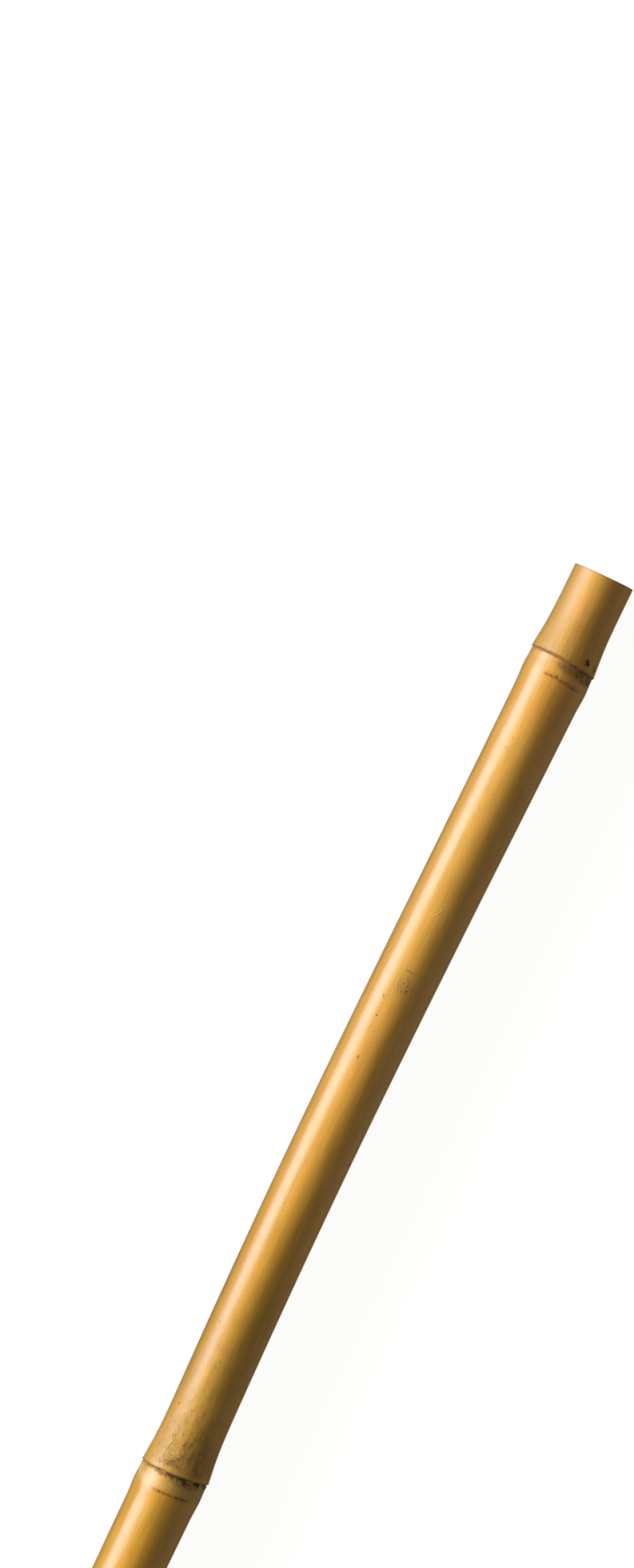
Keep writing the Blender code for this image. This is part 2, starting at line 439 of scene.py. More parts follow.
    # A dark band in the butt scar's groove: dirt, and painted shade in the groove
    grooveDirtAndShade = g.band(pastButt, 0.25, 0.45, 0.8, 1.3)
    colour = g.tint(grooveDirtAndShade * shares["grooveDirtAndShade"], colour, looks["lip"])
    clumps = scarClumps(g, grain, 0.42)
    dirtAtTip = g.band(pastTip, 0.2, 0.45, 0.7, 2.3) * clumps
    dirtAtTip = dirtAtTip * g.ramp(side, -7.5, -2.0, 0.45, 1.0)
    caked = patch(398.9, 4.4, 1.5, 7.0) * (clumps * 0.55 + 0.45) + wobble * 1.8
    dirtAtTip = g.most(dirtAtTip, g.ramp(caked, 0.42, 0.66) * (pastTip > 0.1))
    colour = g.tint(dirtAtTip * shares["dirtAtTip"], colour, looks["scurf"])
    beads = g.ramp(g.noise(grain, 0.9, 0.9, 2.0, 127.0), 0.50, 0.62)
    rust = (g.bell(pastButt, 8.3, 0.62) + g.bell(pastTip, 8.4, 0.60)) * (beads * 0.55 + 0.45)
    colour = g.tint(rust * ridgePatches(g, grain, side, up), colour, looks["rust"])

    # Single marks: bruises, healed wounds, a scuff and a fresh scratch
    spots = {}
    for label, places in marks.items():
        mask = 0.0
        for at, across, length, width, strength in places:
            mask = mask + patch(at, across, length, width) * strength
        mask = g.least(mask * 1.3, 0.9)
        rugged, start = looks["markEdges"][label]
        mask = g.ramp(mask + wobble * rugged, start, 0.78) * g.least(mask * 2.5, 1.0)
        spots[label] = mask
        colour = g.tint(mask, colour, looks[label])
    scratches = g.ramp(g.noise(grain, 0.9, 1.6, 4.0, 151.0, 0.7), 0.50, 0.60)
    crack = g.ramp(g.noise(grain, 2.4, 0.5, 3.0, 157.0, 0.6), 0.50, 0.60)
    scuffed = patch(182.4, 0.2, 4.6, 3.0) * (scratches * 0.72 + 0.22)
    scuffed = g.most(scuffed, patch(176.1, 0.2, 0.9, 2.1) * (crack * 0.6 + 0.2))
    colour = g.tint(scuffed, colour, looks["scuff"])
    # The scratch: a pale sliver and a dark gouge beside it; the gouge's dark colour also paints the
    # sliver's shadow
    course = (side + 0.33) + (along - 150.5) * 0.57
    reach = g.bell(along, 150.4, 1.45) * above
    gougeAndShadow = g.bell(course, 0.32, 0.22) * reach
    sliver = g.bell(course, -0.18, 0.24) * reach
    colour = g.tint(gougeAndShadow * shares["scratch"], colour, looks["wound"])
    colour = g.tint(sliver * shares["scratch"], colour, looks["fresh"])
    # Painted shade: a dark line along the skin at the sawn butt's edge
    cutEdgeShade = g.ramp(along, 0.25, 0.85, 1.0, 0.0) * shares["cutEdgeShade"]
    colour = g.tint(cutEdgeShade, colour, looks["cutEdgeShadeBrown"])

    # Dirt, dust and wounds are duller than the skin round them, and stand out or lie a little deeper
    rough = g.blend(looks["glossy"], looks["matt"], matt) + (thread - 0.5) * 0.12 + (haze - 0.5) * 0.16
    rough = rough + buttMatt * 0.06
    grime = specks * 0.8 + dust * 0.3 + scuffed + gougeAndShadow + spots["wound"] + spots["bruise"]
    grime = grime + dirtAtTip + mould + stain
    rough = g.blend(rough, 0.92, g.least(grime, 1.0)) + g.least(wax, 0.8) * 0.08
    score = fibre * 0.5 + thread * 0.5
    relief = score * (0.10 + gripped * 0.34) - scored * scoring * 0.2
    relief = relief + g.noise(grain, 0.3, 0.45, 2.0, 163.0) * 0.35
    relief = relief + mottle * (matt * 0.55 + 0.06)
    relief = relief - scuffed * 0.4 - specks * 0.25 - gougeAndShadow * 0.9 - spots["wound"] * 0.4
    plug(g, shader, {
        "Base Color": colour,
        "Roughness": rough,
        "Normal": g.bump(relief, looks["relief"]),
        "Specular IOR Level": looks["shine"],
    })
    return material


# The sawn ends: pale wood, with dark fibre bundles crowded towards the skin

sawnLooks = {
    "pale": (0.84, 0.60, 0.29, 1.0),
    "tan": (0.54, 0.32, 0.12, 1.0),
    "skinEdge": (0.36, 0.17, 0.045, 1.0),
    "roughness": 0.8,
    "relief": 0.0001,
}


def makeSawn(looks):
    material, g, shader = newMaterial("sawnBamboo")
    grain = g.attribute("grain")
    _, side, up = g.split(grain)
    radius = g.math("SQRT", side * side + up * up)
    flat = g.join(0.0, side, up)
    fine = g.node("ShaderNodeTexVoronoi", None, {"Vector": flat, "Scale": 2.1, "Randomness": 0.9})
    coarse = g.node("ShaderNodeTexVoronoi", None, {"Vector": flat, "Scale": 1.15, "Randomness": 0.85})
    outward = g.ramp(radius, 8.0, 11.2)
    dots = g.ramp(g.blend(coarse, fine, outward), 0.28, 0.40, 1.0, 0.0)
    mottle = g.noise(grain, 0.0, 0.5, 3.0, 7.0)
    colour = g.tint(g.ramp(mottle, 0.35, 0.65) * 0.5, looks["pale"], looks["tan"])
    colour = g.tint(dots * 0.45, colour, looks["tan"])
    colour = g.tint(g.ramp(radius, 11.6, 12.7), colour, looks["skinEdge"])
    saw = g.math("SINE", side * 5.5 + up * 1.1 + mottle * 3.0)
    relief = dots * 0.5 + saw * 0.10 + g.noise(grain, 0.0, 3.0, 3.0, 9.0) * 0.8
    normal = g.bump(relief, looks["relief"])
    plug(g, shader, {"Base Color": colour, "Roughness": looks["roughness"], "Normal": normal})
    return material


# The hollows' lining of dry pith

liningLooks = {
    "pith": (0.60, 0.47, 0.27, 1.0),
    "stain": (0.26, 0.16, 0.07, 1.0),
    "roughness": 0.7,
    "relief": 0.00015,
}


def makeLining(looks):
    material, g, shader = newMaterial("hollowLining")
    grain = g.attribute("grain")
    patch = g.noise(grain, 0.05, 0.3, 4.0, 13.0)
    thread = g.noise(grain, 0.06, 2.4, 3.0, 19.0)
    colour = g.tint(g.ramp(patch, 0.42, 0.68) * 0.8, looks["pith"], looks["stain"])
    colour = g.scaled(colour, 0.82 + thread * 0.36)
    normal = g.bump(thread + patch, looks["relief"])
    plug(g, shader, {"Base Color": colour, "Roughness": looks["roughness"], "Normal": normal})
    return material


# Crumbs, buds, specks, bundles and fibres, each one with a shade of its own between dark and light

plainLooks = {  # dark, light and roughness
    "scarCrumb": ((0.17, 0.080, 0.025, 1.0), (0.66, 0.43, 0.17, 1.0), 0.8),
    "scarScurf": ((0.030, 0.016, 0.008, 1.0), (0.24, 0.12, 0.045, 1.0), 0.8),
    "budBrown": ((0.10, 0.030, 0.008, 1.0), (0.32, 0.12, 0.030, 1.0), 0.85),
    "speckBrown": ((0.13, 0.050, 0.012, 1.0), (0.38, 0.19, 0.05, 1.0), 0.85),
    "bundleTan": ((0.16, 0.080, 0.028, 1.0), (0.38, 0.21, 0.08, 1.0), 0.6),
    "strawFibre": ((0.38, 0.22, 0.09, 1.0), (0.80, 0.60, 0.32, 1.0), 0.7),
}


def makePlain(name, dark, light, roughness):
    material, g, shader = newMaterial(name)
    own = g.attribute("shade", "Fac")
    place = g.node("ShaderNodeTexCoord", None, None, "Object")
    crumb = g.node("ShaderNodeTexNoise", None, {"Vector": place, "Scale": 4000.0, "Detail": 2.0})
    colour = g.tint(own * 0.7 + crumb * 0.3, dark, light)
    plug(g, shader, {
        "Base Color": colour,
        "Roughness": roughness,
        "Normal": g.bump(crumb, 0.00005, 0.6),
        "Specular IOR Level": 0.25,
    })
    return material


# The culm grows by one rule from end to end: it flares to a sheath scar, steps down into a band,
# swells at the ridge above it and thins slowly towards the next scar. Sizes are in metres

culmShape = {
    "Culm Radius": 0.01265,
    "Wall": 0.0056,
    "Butt Scar": 0.0381,
    "Tip Scar": 0.3972,
    "Flare": 0.00135,
    "Flare Length": 0.0099,
    "Flare Power": 1.5,
    "Shoulder": 0.0010,
    "Shoulder Length": 0.160,
    "Ridge": 0.00033,
    "Ridge Width": 0.0045,
    "Ridge Past Scar": 0.0080,
    "Step": 0.0004,
    "Lip": 0.00014,
    "Lip At": -0.00018,
    "Lip Width": 0.00026,
    "Groove": 0.00045,
    "Groove At": 0.00056,
    "Groove Width": 0.00030,
    "Ragged": 0.00022,
    "Ripple": 0.00007,
    "Crinkle": 0.00011,
    "Dents": 0.00010,
    "Pith Film": 0.0004,
    "Dish": 0.0009,
    "Saw Tilt": 0.00034,
    "Saw Marks": 0.00012,
    "Saw Sunk": 0.00003,
    "Seed": 8,
}
# How far each scar shifts along the cane at its +Y side and on top
scarLean = {"Butt Scar": (0.00092, -0.00045), "Tip Scar": (-0.00088, -0.00010)}
# Burrs on the butt's rim: how far round, how wide and how high
rimBurrs = ((-1.28, 0.06, 0.00036), (0.48, 0.03, 0.00012))
burrLength = 0.0009
culmBow = {
    "sideAtButt": -0.00045,
    "sideAtNodes": (-0.00060, 0.00030),
    "side": (-0.0024, 0.0009),  # how far the long internode arches, and the one past it
    "rise": (0.0006, 0.0008),
    "skew": 1.3,
    "leanReach": 0.034,  # how far from a scar its lean is felt
    "buttWave": -0.00045,  # the dip of the butt's scar at its top and bottom
}
# How far apart the rings of the tube are
culmRings = {
    "sides": 200,
    "plain": 0.0034,
    "ends": (0.0, 0.0003, 0.0006, 0.0012),
    "nodeSteps": (  # from here past a scar on, rings are so far apart
        (-0.030, 0.0011), (-0.008, 0.0004), (-0.0016, 0.00012), (0.0026, 0.00036), (0.014, 0.0011),
    ),
    "nodeReach": 0.030,
    "diaphragmPastScar": 0.0045,
    "diaphragmThickness": 0.0026,
    "fillet": 0.0040,
    "floorRings": 14,
    "floorCrowding": 0.7,
    "hollow": 0.006,
    "sawnRings": 9,
}
squash = {"share": 0.006, "turn": math.radians(35)}
footDepth = 0.00035
feetBelow = -12.2  # mm up from the axis: the cane rests on what is lower, so nothing is scattered there
skinZone, sawnZone, hollowZone = 0, 1, 2


def skinStations(rings, length, scars):  # where along the cane the skin has its rings
    stations = list(rings["ends"])
    for scar in scars:
        steps = list(rings["nodeSteps"]) + [(rings["nodeReach"], 0.0)]
        for (start, step), (end, _) in zip(steps, steps[1:]):
            count = round((end - start) / step)
            stations += [scar + start + (end - start) * i / count for i in range(count)]
        stations.append(scar + rings["nodeReach"])
    stations += [length - step for step in reversed(rings["ends"])]
    filled = []
    for start, end in zip(stations, stations[1:]):
        pieces = max(1, round((end - start) / rings["plain"]))
        filled += [start + (end - start) * i / pieces for i in range(pieces)]
    return filled + [length]


def hollowRings(rings, mouth, floor, bore):
    # Rows of (along, outer, core, zone), from the middle of the diaphragm to the mouth
    fillet = rings["fillet"]
    inward = math.copysign(1.0, floor - mouth)
    made = []
    for i in range(1, rings["floorRings"] + 1):
        core = (i / rings["floorRings"]) ** rings["floorCrowding"]
        bend = max(0.0, (core * bore - (bore - fillet)) / fillet)
        sunk = fillet * (1 - math.sqrt(max(0.0, 1 - bend * bend)))
        made.append((floor - inward * sunk, 0.0, core, hollowZone))
    corner = floor - inward * fillet
    count = max(6, round(abs(corner - mouth) / rings["hollow"]))
    made += [(corner + (mouth - corner) * i / count, 0.0, 1.0, hollowZone) for i in range(1, count)]
    return made


def tubeMesh(shape, rings, length):
    # A straight tube of unit radius, closed by both diaphragms. Outer goes from 0 on the hollow's wall to 1
    # on the skin, and core from 0 at the middle of a diaphragm to 1 at its edge
    bore = shape["Culm Radius"] - shape["Wall"]
    scars = (shape["Butt Scar"], shape["Tip Scar"])
    half = rings["diaphragmThickness"] / 2
    buttFloor = scars[0] + rings["diaphragmPastScar"] - half
    tipFloor = scars[1] + rings["diaphragmPastScar"] + half
    sawn = [i / rings["sawnRings"] for i in range(rings["sawnRings"] + 1)]
    profile = hollowRings(rings, 0.0, buttFloor, bore)
    profile += [(0.0, outer, 1.0, sawnZone) for outer in sawn[:-1]]
    profile += [(along, 1.0, 1.0, skinZone) for along in skinStations(rings, length, scars)[:-1]]
    profile += [(length, outer, 1.0, sawnZone) for outer in sawn[::-1]]
    profile += hollowRings(rings, length, tipFloor, bore)[::-1]
    sides = rings["sides"]
    points = [(buttFloor, 0.0, 0.0)]
    outers = [0.0]
    cores = [0.0]
    for along, outer, core, _ in profile:
        for j in range(sides):
            turn = 2 * math.pi * (j + 0.5) / sides
            points.append((along, math.sin(turn), math.cos(turn)))
        outers += [outer] * sides
        cores += [core] * sides
    points.append((tipFloor, 0.0, 0.0))
    outers.append(0.0)
    cores.append(0.0)
    faces = [(0, 1 + j, 1 + (j + 1) % sides) for j in range(sides)]
    zones = [hollowZone] * sides
    start = 1
    for row, after in zip(profile, profile[1:]):
        zone = max(row[3], after[3])
        if zone == sawnZone and row[0] != after[0]:  # the last strip of skin before the saw's cut
            zone = skinZone
        for j in range(sides):
            k = (j + 1) % sides
            faces.append((start + j, start + sides + j, start + sides + k, start + k))
        zones += [zone] * sides
        start += sides
    last = len(points) - 1
    faces += [(start + j, last, start + (j + 1) % sides) for j in range(sides)]
    zones += [hollowZone] * sides
    mesh = bpy.data.meshes.new("tube")
    mesh.from_pydata(points, [], faces)
    for label, numbers in (("outer", outers), ("core", cores)):
        mesh.attributes.new(label, "FLOAT", "POINT").data.foreach_set("value", numbers)
    mesh.attributes.new("zone", "INT", "FACE").data.foreach_set("value", zones)
    return mesh


def axisHeight(shape):  # above the surface that the cane lies on
    return shape["Culm Radius"] + shape["Flare"] - footDepth


def axisSide(bow):  # found from the rim of the CAD cane's butt end
    rim = [v.co.y for v in cane.data.vertices if v.co.x < caneBox[0].x + 0.1 * mm]
    return (min(rim) + max(rim)) / 2 - bow["sideAtButt"]


def humpOver(g, along, start, spacing, height, skew):  # an arch over one internode
    share = g.most((along - start) / spacing, 0.0)
    return g.math("SINE", share**skew * math.pi) * height


def growCulm(shape, rings, bow, lean, materials):
    g = Growth("culm", shape)
    given = g.given
    scars = (given["Butt Scar"], given["Tip Scar"])
    spacing = scars[1] - scars[0]
    along, sideways, upward = g.split(g.node("GeometryNodeInputPosition"))
    outer = g.read("outer")
    core = g.read("core")
    place = g.join(along / mm, sideways * 13.0, upward * 13.0)  # on an even cylinder, in mm
    ragged = (g.noise(place, 0.0, 0.8, 3.0, 3.0) - 0.5) * given["Ragged"] * 2.0
    uneven = g.ramp(g.noise(place, 0.0, 0.45, 3.0, 31.0), 0.3, 0.7, 0.35, 1.25)

    # The radius of the skin
    radius = given["Culm Radius"]
    pasts = []
    shift = 0.0
    for label, scar in zip(("Butt Scar", "Tip Scar"), scars):
        past = along - scar
        edge = past + ragged
        pasts.append(edge / mm)
        before = g.most(past * -1.0, 0.0)
        after = g.most(past, 0.0)
        flare = (before / given["Flare Length"]) ** given["Flare Power"]
        flare = g.math("EXPONENT", flare * -1.0) * given["Flare"]
        shoulder = g.math("EXPONENT", after / given["Shoulder Length"] * -1.0) * given["Shoulder"]
        ridge = g.bell(past, given["Ridge Past Scar"], given["Ridge Width"]) * given["Ridge"]
        stepped = g.ramp(edge, 0.0, given["Step"])
        swelling = g.blend(flare, shoulder + ridge, stepped)
        lip = g.bell(edge, given["Lip At"], given["Lip Width"]) * given["Lip"] * uneven
        groove = g.bell(edge, given["Groove At"], given["Groove Width"]) * given["Groove"] * uneven
        radius = radius + swelling + lip - groove
        near = g.most(1.0 - (past / bow["leanReach"]) * (past / bow["leanReach"]), 0.0)
        leanSide, leanTop = lean[label]
        wave = upward * upward * (bow["buttWave"] if label == "Butt Scar" else 0.0)
        shift = shift + near * near * (sideways * leanSide + upward * leanTop + wave)
    ripple = (g.noise(place, 0.011, 0.16, 2.0, given["Seed"]) - 0.5) * given["Ripple"] * 2.0
    crinkled = g.band(pasts[0], -7.0, -1.5, -0.6, 0.0) + g.band(pasts[1], -9.0, -2.0, -0.6, 0.0)
    crinkle = (g.noise(place, 0.9, 0.7, 3.0, 57.0) - 0.5) * crinkled * given["Crinkle"]
    dented = g.band(pasts[0], 0.8, 2.0, 6.0, 9.0) + g.band(pasts[1], 0.8, 2.0, 6.0, 9.0)
    dents = (g.noise(place, 0.45, 0.45, 3.0, 67.0) - 0.5) * dented * given["Dents"]
    around = g.math("ARCTAN2", sideways, upward)
    burrs = 0.0
    for middle, width, height in rimBurrs:
        burrs = burrs + g.bell(around, middle, width) * height
    radius = radius + ripple + crinkle + dents + g.ramp(along, 0.0, burrLength, 1.0, 0.0) * burrs

    # The hollow, and the saw's slightly slanting cut
    film = (g.noise(place, 0.04, 0.5, 3.0, 77.0) - 0.5) * given["Pith Film"]
    bore = given["Culm Radius"] - given["Wall"] + film
    throughWall = core * g.blend(bore, radius, outer)
    atButt = along < 0.05 * mm
    atTip = along > caneLength - 0.05 * mm
    sawMarks = (g.noise(place, 0.0, 0.9, 3.0, 87.0) - 0.5) * given["Saw Marks"]
    cut = atButt * ((1.0 - sideways) * given["Saw Tilt"] + sawMarks * 0.5 + given["Saw Sunk"])
    tipTilt = (1.0 + upward) * given["Saw Tilt"] * 0.6
    cut = cut - atTip * (tipTilt + sawMarks * 0.5 + given["Saw Sunk"])
    dished = (g.noise(place, 0.0, 0.35, 3.0, 93.0) - 0.5) * (1.0 - core) * given["Dish"]

    # The bow, the slight ovality and the small flats that the cane lies on
    turn = g.math("ARCTAN2", upward, sideways)
    squeeze = 1.0 + g.math("COSINE", (turn - squash["turn"]) * 2.0) * squash["share"]
    first, second = bow["sideAtNodes"]
    towards = g.least(along / scars[0], 1.0)
    between = g.least(g.most((along - scars[0]) / spacing, 0.0), 1.0)
    sideShift = bow["sideAtButt"] + towards * (first - bow["sideAtButt"]) + between * (second - first)
    rise = 0.0
    inMiddle = (along > scars[0]) * (along < scars[1])
    inTip = along > scars[1]
    for where, start, i in ((inMiddle, scars[0], 0), (inTip, scars[1], 1)):
        sideShift = sideShift + where * humpOver(g, along, start, spacing, bow["side"][i], bow["skew"])
        rise = rise + where * humpOver(g, along, start, spacing, bow["rise"][i], bow["skew"])
    floorLevel = -axisHeight(shape)
    x = along + shift * outer + cut + dished + caneBox[0].x
    y = throughWall * sideways * squeeze + sideShift + axisSide(bow)
    z = g.most(throughWall * upward * squeeze + rise, floorLevel) - floorLevel

    # What the finishes read: a place's spot on the straight culm, and how far past each scar it is, in mm
    onSkin = outer > 0.9995
    reach = g.blend(throughWall, given["Culm Radius"], onSkin) / mm
    grain = g.join(along / mm, reach * sideways, reach * upward)
    grown = g.store(given["Geometry"], "grain", "FLOAT_VECTOR", grain)
    grown = g.store(grown, "pastScar", "FLOAT_VECTOR", g.join(pasts[0], pasts[1], 0.0))
    grown = g.node("GeometryNodeSetPosition", None, {0: grown, "Position": g.join(x, y, z)})
    zone = g.read("zone", "INT")
    grown = g.node("GeometryNodeRealizeInstances", None, {0: grown})
    equal = {"data_type": "INT", "operation": "EQUAL"}
    for i, material in enumerate(materials):
        chosen = g.node("FunctionNodeCompare", equal, {2: zone, 3: i})
        sockets = {0: grown, "Selection": chosen, "Material": material}
        grown = g.node("GeometryNodeSetMaterial", None, sockets)
    culm = g.finish(tubeMesh(shape, rings, caneLength), grown)
    culm.data.shade_smooth()
    culm.data.set_sharp_from_angle(angle=math.radians(55))
    return culm


# What is scattered over the culm. Each piece is a tree of its own that reads the grown culm

def fleck(g, detail, shape, lumpy, seed):  # one uneven pebble, a unit across before it is shaped
    ball = g.node("GeometryNodeMeshIcoSphere", None, {"Radius": 0.5, "Subdivisions": detail})
    lumps = {"Vector": g.node("GeometryNodeInputPosition"), "W": seed, "Scale": 2.3}
    wild = g.node("ShaderNodeTexNoise", {"noise_dimensions": "4D"}, lumps, 1)
    offset = g.scaled(g.vector("SUBTRACT", wild, (0.5, 0.5, 0.5)), lumpy)
    ball = g.node("GeometryNodeSetPosition", None, {0: ball, "Offset": offset})
    return g.node("GeometryNodeTransform", None, {0: ball, "Scale": shape})


def readCulm(name, culm, values, material):  # a new tree, with the culm's mesh and each place's spot on it
    g = Growth(name, {"Cane": culm, "Material": material, **values})
    skin = g.node("GeometryNodeObjectInfo", None, {"Object": g.given["Cane"]}, "Geometry")
    return g, g.given, skin, g.read("grain", "FLOAT_VECTOR")


def pastScars(g):
    return g.split(g.read("pastScar", "FLOAT_VECTOR"))[:2]


def fromAxis(g, grain):
    flat = g.vector("MULTIPLY", grain, (0.0, 1.0, 1.0))
    return g.node("ShaderNodeVectorMath", {"operation": "LENGTH"}, {0: flat}, "Value")


def endwards(g):  # 1 where a face looks straight along the cane, and 0 where it looks across
    return g.math("ABSOLUTE", g.split(g.node("GeometryNodeInputNormal"))[0])


def seeded(g, skin, mask, apart=None):  # points on the culm where the mask lets them be, and their normals
    sockets = {"Mesh": skin, "Seed": g.given["Seed"]}
    if apart:
        sockets.update({"Distance Min": apart, "Density Max": g.given["Density"], "Density Factor": mask})
    else:
        sockets["Density"] = g.given["Density"] * mask
    method = {"distribute_method": "POISSON" if apart else "RANDOM"}
    points = g.node("GeometryNodeDistributePointsOnFaces", method, sockets)
    return points, g.beside(points, "Normal")


def sized(g, low, high):
    return g.given["Size"] * g.random(low, high, g.given["Seed"] + 5.0)


def stand(g, points, towards):  # turns each copy's Z axis to a direction that its point keeps
    points = g.store(points, "stand", "FLOAT_VECTOR", towards)
    direction = {"Vector": g.read("stand", "FLOAT_VECTOR")}
    return points, g.node("FunctionNodeAlignRotationToVector", {"axis": "Z"}, direction)


def makeCopies(g, points, instance, turned, size, seed):  # one real copy at each point, with its own shade
    points = g.store(points, "shade", "FLOAT", g.random(0.0, 1.0, seed))
    sockets = {"Points": points, "Instance": instance, "Rotation": turned, "Scale": size}
    made = g.node("GeometryNodeInstanceOnPoints", None, sockets)
    made = g.node("GeometryNodeRealizeInstances", None, {0: made})
    made = g.node("GeometryNodeSetMaterial", None, {0: made, "Material": g.given["Material"]})
    return g.finish(bpy.data.meshes.new(g.name), made)


def scatter(g, points, normal, instance, size, tilt, spin):
    # Stands each copy on the skin with its length along the cane, then tips and spins it a little
    seed = g.given["Seed"] + 9.0
    points, stood = stand(g, points, normal)
    lengthwise = {"Rotation": stood, "Vector": (1.0, 0.0, 0.0)}
    stood = g.node("FunctionNodeAlignRotationToVector", {"axis": "X", "pivot_axis": "Z"}, lengthwise)
    tipped = [g.random(-tilt, tilt, seed), g.random(-tilt, tilt, seed + 1.0)]
    tip = g.join(*tipped, g.random(-spin, spin, seed + 2.0))
    local = g.node("FunctionNodeEulerToRotation", None, {0: tip})
    turned = g.node("FunctionNodeRotateRotation", {"rotation_space": "LOCAL"}, {0: stood, 1: local})
    return makeCopies(g, points, instance, turned, size, seed + 3.0)


# Crumbs and scurf in the grooves, from and to so many mm past the scar, and fewer on the left

buttCrumbs = {
    "Which Scar": 0.0, "From": 0.3, "To": 1.25, "Left Share": 0.45,
    "Density": 2.2e7, "Size": 0.00030, "Clump Start": 0.30, "Seed": 3,
}
tipCrumbs = {
    "Which Scar": 1.0, "From": 0.25, "To": 2.6, "Left Share": 0.22,
    "Density": 1.4e7, "Size": 0.00032, "Clump Start": 0.45, "Seed": 5,
}


def scarCrumbs(name, culm, values, material):
    g, given, skin, grain = readCulm(name, culm, values, material)
    past = g.blend(*pastScars(g), given["Which Scar"])
    _, side, up = g.split(grain)
    strip = g.band(past, given["From"] - 0.15, given["From"] + 0.1, given["To"] - 0.7, given["To"])
    strip = strip * g.ramp(side, -8.5, -3.0, given["Left Share"], 1.0) * (up > feetBelow)
    points, normal = seeded(g, skin, strip * scarClumps(g, grain, given["Clump Start"]))
    crumb = fleck(g, 1, (1.15, 0.85, 0.75), 0.6, 4.0)
    return scatter(g, points, normal, crumb, sized(g, 0.35, 1.25), 0.8, 3.1)


# The buds of roots that never grew, in a broken row on each ridge

ridgeBuds = {"Row": 8.3, "Spread": 0.34, "Density": 4.5e6, "Size": 0.00036, "Seed": 11}


def ridgeDots(culm, values, material):
    g, given, skin, grain = readCulm("ridgeDots", culm, values, material)
    pastButt, pastTip = pastScars(g)
    row = g.bell(pastButt, given["Row"], given["Spread"])
    row = row + g.bell(pastTip, given["Row"] + 0.1, given["Spread"])
    _, side, up = g.split(grain)
    points, normal = seeded(g, skin, row * ridgePatches(g, grain, side, up) * (up > feetBelow))
    bud = fleck(g, 1, (1.0, 1.0, 0.45), 0.35, 2.0)
    return scatter(g, points, normal, bud, sized(g, 0.4, 1.2), 0.2, 3.1)


# Grains of dirt that have grown into the skin

dirtGrains = {"Density": 2.0e4, "Crowding": 9.0, "Size": 0.00038, "Seed": 21}


def skinSpecks(culm, values, material):
    g, given, skin, grain = readCulm("skinSpecks", culm, values, material)
    _, pastTip = pastScars(g)
    crowd = g.ramp(g.noise(grain, 0.03, 0.1, 3.0, 23.0), 0.42, 0.62, 0.15, 1.0)
    nearTip = g.ramp(pastTip, -60.0, -8.0) * (pastTip < -0.8)
    mask = (fromAxis(g, grain) > 12.3) * crowd * (1.0 + nearTip * given["Crowding"])
    points, normal = seeded(g, skin, mask)
    size = given["Size"] * g.random(0.3, 1.0, given["Seed"] + 5.0) ** 1.5
    grit = fleck(g, 1, (1.5, 0.9, 0.16), 0.3, 6.0)
    return scatter(g, points, normal, grit, size, 0.05, 0.5)


# Cut bundles of fibre, thinner and more crowded towards the skin on both sawn faces

cutBundles = {"Apart": 0.00034, "Density": 6.0e6, "Size": 0.00034, "Seed": 31}


def fibreEnds(culm, values, material):
    g, given, skin, grain = readCulm("fibreEnds", culm, values, material)
    radius = fromAxis(g, grain)
    outward = g.ramp(radius, 7.4, 12.4)
    mask = (endwards(g) > 0.9) * (radius > 7.25) * (radius < 12.45) * (0.22 + outward * 0.78)
    points, normal = seeded(g, skin, mask, given["Apart"])
    points = g.store(points, "girth", "FLOAT", 1.25 - outward * 0.6)
    size = given["Size"] * g.read("girth") * g.random(0.75, 1.15, given["Seed"] + 5.0)
    bundle = fleck(g, 1, (1.0, 0.85, 0.35), 0.25, 8.0)
    return scatter(g, points, normal, bundle, size, 0.1, 3.1)


# Whiskers that the saw left standing on the rims

rimWhiskers = {"Density": 1.2e6, "Length": 0.00030, "Girth": 0.00007, "Seed": 41}


def sawSplinters(culm, values, material):
    g, given, skin, grain = readCulm("sawSplinters", culm, values, material)
    along, side, up = g.split(grain)
    radius = g.math("SQRT", side * side + up * up)
    atEnd = g.most(along < 0.45, along > caneLength / mm - 0.45)
    ragged = g.ramp(g.noise(grain, 0.3, 0.35, 2.0, 37.0), 0.45, 0.62, 0.06, 1.0)
    mask = atEnd * g.most(radius > 12.2, (radius < 7.2) * (radius > 6.9) * 0.6) * ragged
    points, _ = seeded(g, skin, mask)
    seed = given["Seed"]
    leanSide = side * 0.03 + g.random(-0.5, 0.5, seed + 1.0)
    leanUp = up * 0.03 + g.random(-0.5, 0.5, seed + 2.0)
    outwards = g.math("SIGN", along - caneLength / mm / 2)
    points, turned = stand(g, points, g.join(outwards, leanSide, leanUp))
    reach = g.random(0.0, 1.0, seed + 4.0) ** 3.0 + 0.12
    reach = given["Length"] * reach * (1.0 - (radius > 10.0) * 0.75)
    girth = given["Girth"] * g.random(0.5, 1.2, seed + 5.0)
    cone = {"Vertices": 5, "Side Segments": 3, "Radius Top": 0.12, "Radius Bottom": 0.5, "Depth": 1.25}
    whisker = g.node("GeometryNodeMeshCone", None, cone)
    whisker = g.node("GeometryNodeTransform", None, {0: whisker, "Translation": (0.0, 0.0, -0.25)})
    return makeCopies(g, points, whisker, turned, g.join(girth, girth, reach), seed + 3.0)


# Papery scraps of pith that hang on to the hollows' walls

looseScraps = {"Density": 1.6e5, "Size": 0.0018, "Seed": 51}


